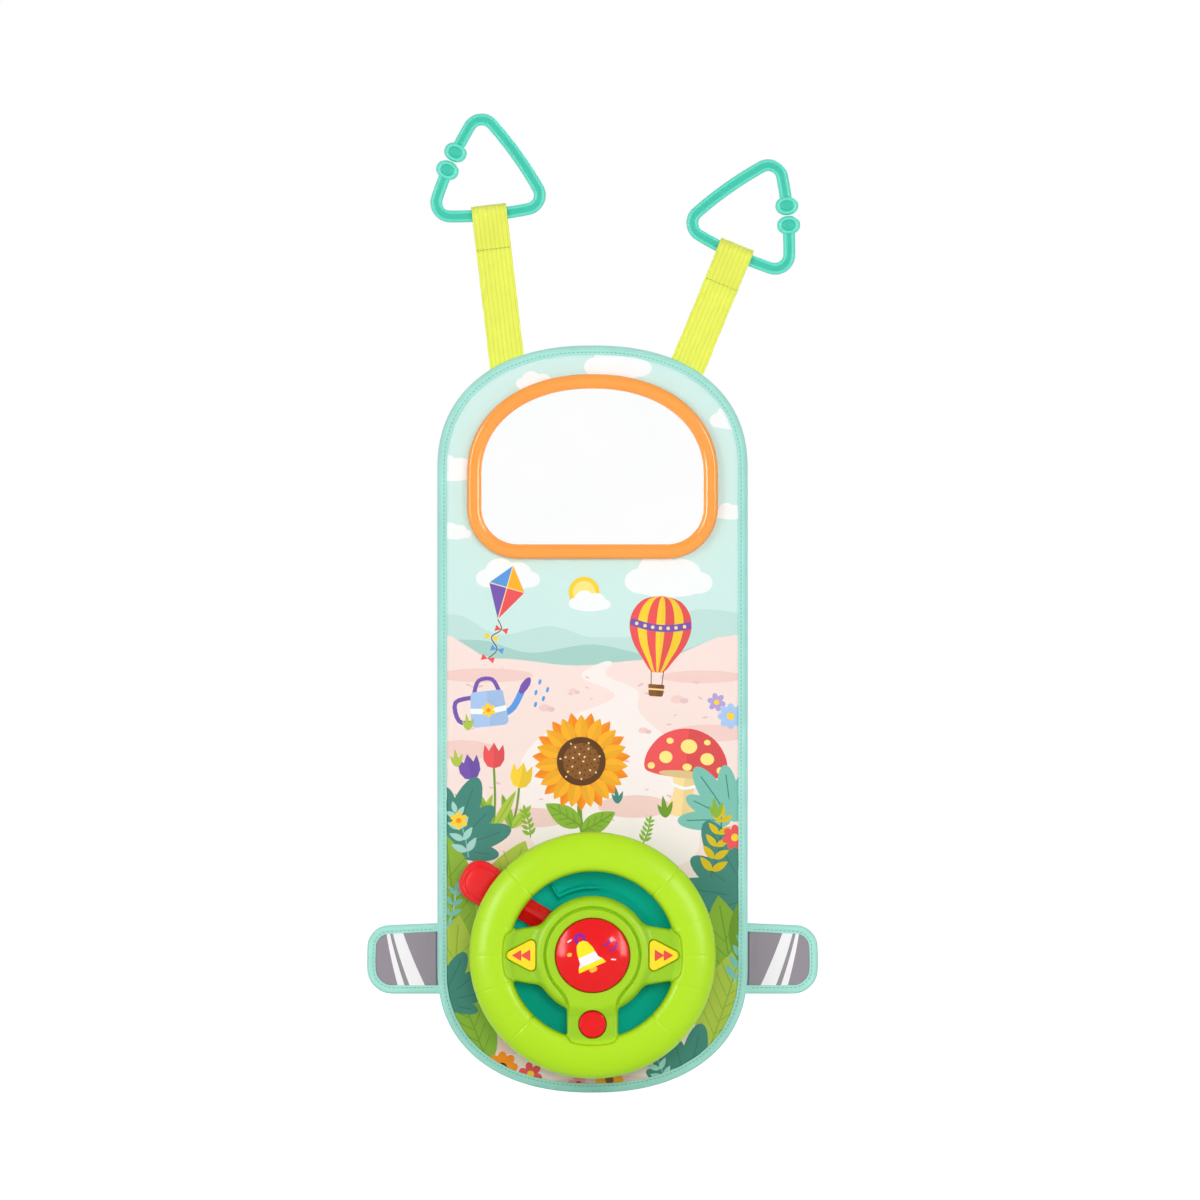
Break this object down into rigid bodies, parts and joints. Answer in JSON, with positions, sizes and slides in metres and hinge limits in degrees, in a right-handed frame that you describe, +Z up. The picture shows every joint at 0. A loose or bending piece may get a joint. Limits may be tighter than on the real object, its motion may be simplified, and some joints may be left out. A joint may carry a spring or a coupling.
{
  "type": "car seat activity panel",
  "caption": "Hanging fabric activity panel for a rear-seat child: framed mirror, toy steering wheel with lever and buttons, webbing straps with link rings, folding side tabs.",
  "frame": {"origin": "middle of the panel's flat back face, which lies against the seat's back", "axes": "+Z up along the panel, -Y out of the printed front, +Y into the seat's back"},
  "size_m": [0.32, 0.059, 0.6947],
  "materials": {
    "print": "printed, slightly padded polyester",
    "back_fabric": "plain woven lining",
    "board": "stiff board",
    "binding": "folded woven binding tape",
    "bezel": "glossy moulded plastic",
    "mirror": "silvered acrylic",
    "webbing": "ribbed webbing",
    "ring": "satin moulded plastic",
    "tab_fabric": "woven fabric with white print",
    "teal_plastic": "satin moulded plastic",
    "lever_plastic": "glossy moulded plastic",
    "lime_plastic": "satin moulded plastic",
    "red_button": "glossy moulded plastic",
    "yellow_button": "glossy moulded plastic",
    "steel": "zinc plated",
    "circuit": "solder-masked board",
    "rubber": "silicone",
    "dark_plastic": "moulded plastic",
    "battery": "sleeved cell",
    "wire": "insulated leads"
  },
  "bodies": {
    "panel": {"board_core": "board", "front_cover": "print", "back_cover": "back_fabric", "edge_binding": "binding", "mirror_bezel": "bezel", "mirror_sheet": "mirror", "mirror_screws": "steel", "strap_anchor_left": "webbing", "strap_anchor_right": "webbing", "wing_anchor_left": "tab_fabric", "wing_anchor_right": "tab_fabric", "base_front_shell": "teal_plastic", "base_back_shell": "teal_plastic", "base_screws": "steel", "battery_door": "teal_plastic", "battery_door_screw": "steel", "batteries": "battery", "battery_contacts": "steel", "main_board": "circuit", "power_switch": "dark_plastic", "speaker": "dark_plastic", "lead_bundle": "wire", "lever_screw": "steel", "retaining_washer": "steel", "washer_screws": "steel"},
    "power_knob": {"power_switch_knob": "dark_plastic"},
    "lever": {"lever_arm": "lever_plastic", "lever_paddle": "lever_plastic"},
    "wheel": {"wheel_front_shell": "lime_plastic", "wheel_back_shell": "lime_plastic", "wheel_screws": "steel", "button_board": "circuit", "switch_domes": "rubber"},
    "horn": {"horn_button": "red_button"},
    "arrow_left": {"left_arrow_button": "yellow_button"},
    "arrow_right": {"right_arrow_button": "yellow_button"},
    "round": {"round_button": "red_button"},
    "strap_left": {"strap_left": "webbing"},
    "strap_right": {"strap_right": "webbing"},
    "ring_left": {"ring_left": "ring"},
    "ring_right": {"ring_right": "ring"},
    "wing_left": {"wing_left": "tab_fabric", "wing_binding_left": "binding"},
    "wing_right": {"wing_right": "tab_fabric", "wing_binding_right": "binding"}
  },
  "joints": [
    {"name": "wheel_turn", "type": "hinge", "parent": "panel", "child": "wheel", "pos_m": [0, 0, -0.1666], "axis": [0, 1, 0], "range_deg": [-45, 45]},
    {"name": "lever_swing", "type": "hinge", "parent": "panel", "child": "lever", "pos_m": [-0.02063, -0.02, -0.15077], "axis": [0, 1, 0], "range_deg": [-7.5, 20.5]},
    {"name": "horn_press", "type": "slide", "parent": "wheel", "child": "horn", "axis": [0, 1, 0], "range_m": [0, 0.0025], "stiffness_N_per_m": 600, "springref_m": -0.001},
    {"name": "arrow_left_press", "type": "slide", "parent": "wheel", "child": "arrow_left", "axis": [0, 1, 0], "range_m": [0, 0.0015], "stiffness_N_per_m": 500, "springref_m": -0.001},
    {"name": "arrow_right_press", "type": "slide", "parent": "wheel", "child": "arrow_right", "axis": [0, 1, 0], "range_m": [0, 0.0015], "stiffness_N_per_m": 500, "springref_m": -0.001},
    {"name": "round_press", "type": "slide", "parent": "wheel", "child": "round", "axis": [0, 1, 0], "range_m": [0, 0.0015], "stiffness_N_per_m": 500, "springref_m": -0.001},
    {"name": "power_slide", "type": "slide", "parent": "panel", "child": "power_knob", "axis": [1, 0, 0], "range_m": [0, 0.004]},
    {"name": "strap_left_fold", "type": "hinge", "parent": "panel", "child": "strap_left", "pos_m": [-0.06145, -0.0022, 0.25931], "axis": [0.9932, 0, 0.1167], "range_deg": [-80, 80], "stiffness_Nm_per_rad": 0.05},
    {"name": "ring_left_swing", "type": "hinge", "parent": "strap_left", "child": "ring_left", "pos_m": [-0.07302, -0.0067, 0.3578], "axis": [0.9954, 0, 0.0958], "range_deg": [-150, 150]},
    {"name": "wing_left_fold", "type": "hinge", "parent": "panel", "child": "wing_left", "pos_m": [-0.1125, -0.0022, -0.17], "axis": [0, 0, -1], "range_deg": [-30, 90]},
    {"name": "strap_right_fold", "type": "hinge", "parent": "panel", "child": "strap_right", "pos_m": [0.06862, -0.0022, 0.25324], "axis": [0.9245, 0, -0.3811], "range_deg": [-80, 80], "stiffness_Nm_per_rad": 0.05},
    {"name": "ring_right_swing", "type": "hinge", "parent": "strap_right", "child": "ring_right", "pos_m": [0.10043, -0.0067, 0.33042], "axis": [0.9078, 0, -0.4195], "range_deg": [-150, 150]},
    {"name": "wing_right_fold", "type": "hinge", "parent": "panel", "child": "wing_right", "pos_m": [0.1125, -0.0022, -0.17], "axis": [0, 0, 1], "range_deg": [-30, 90]}
  ]
}
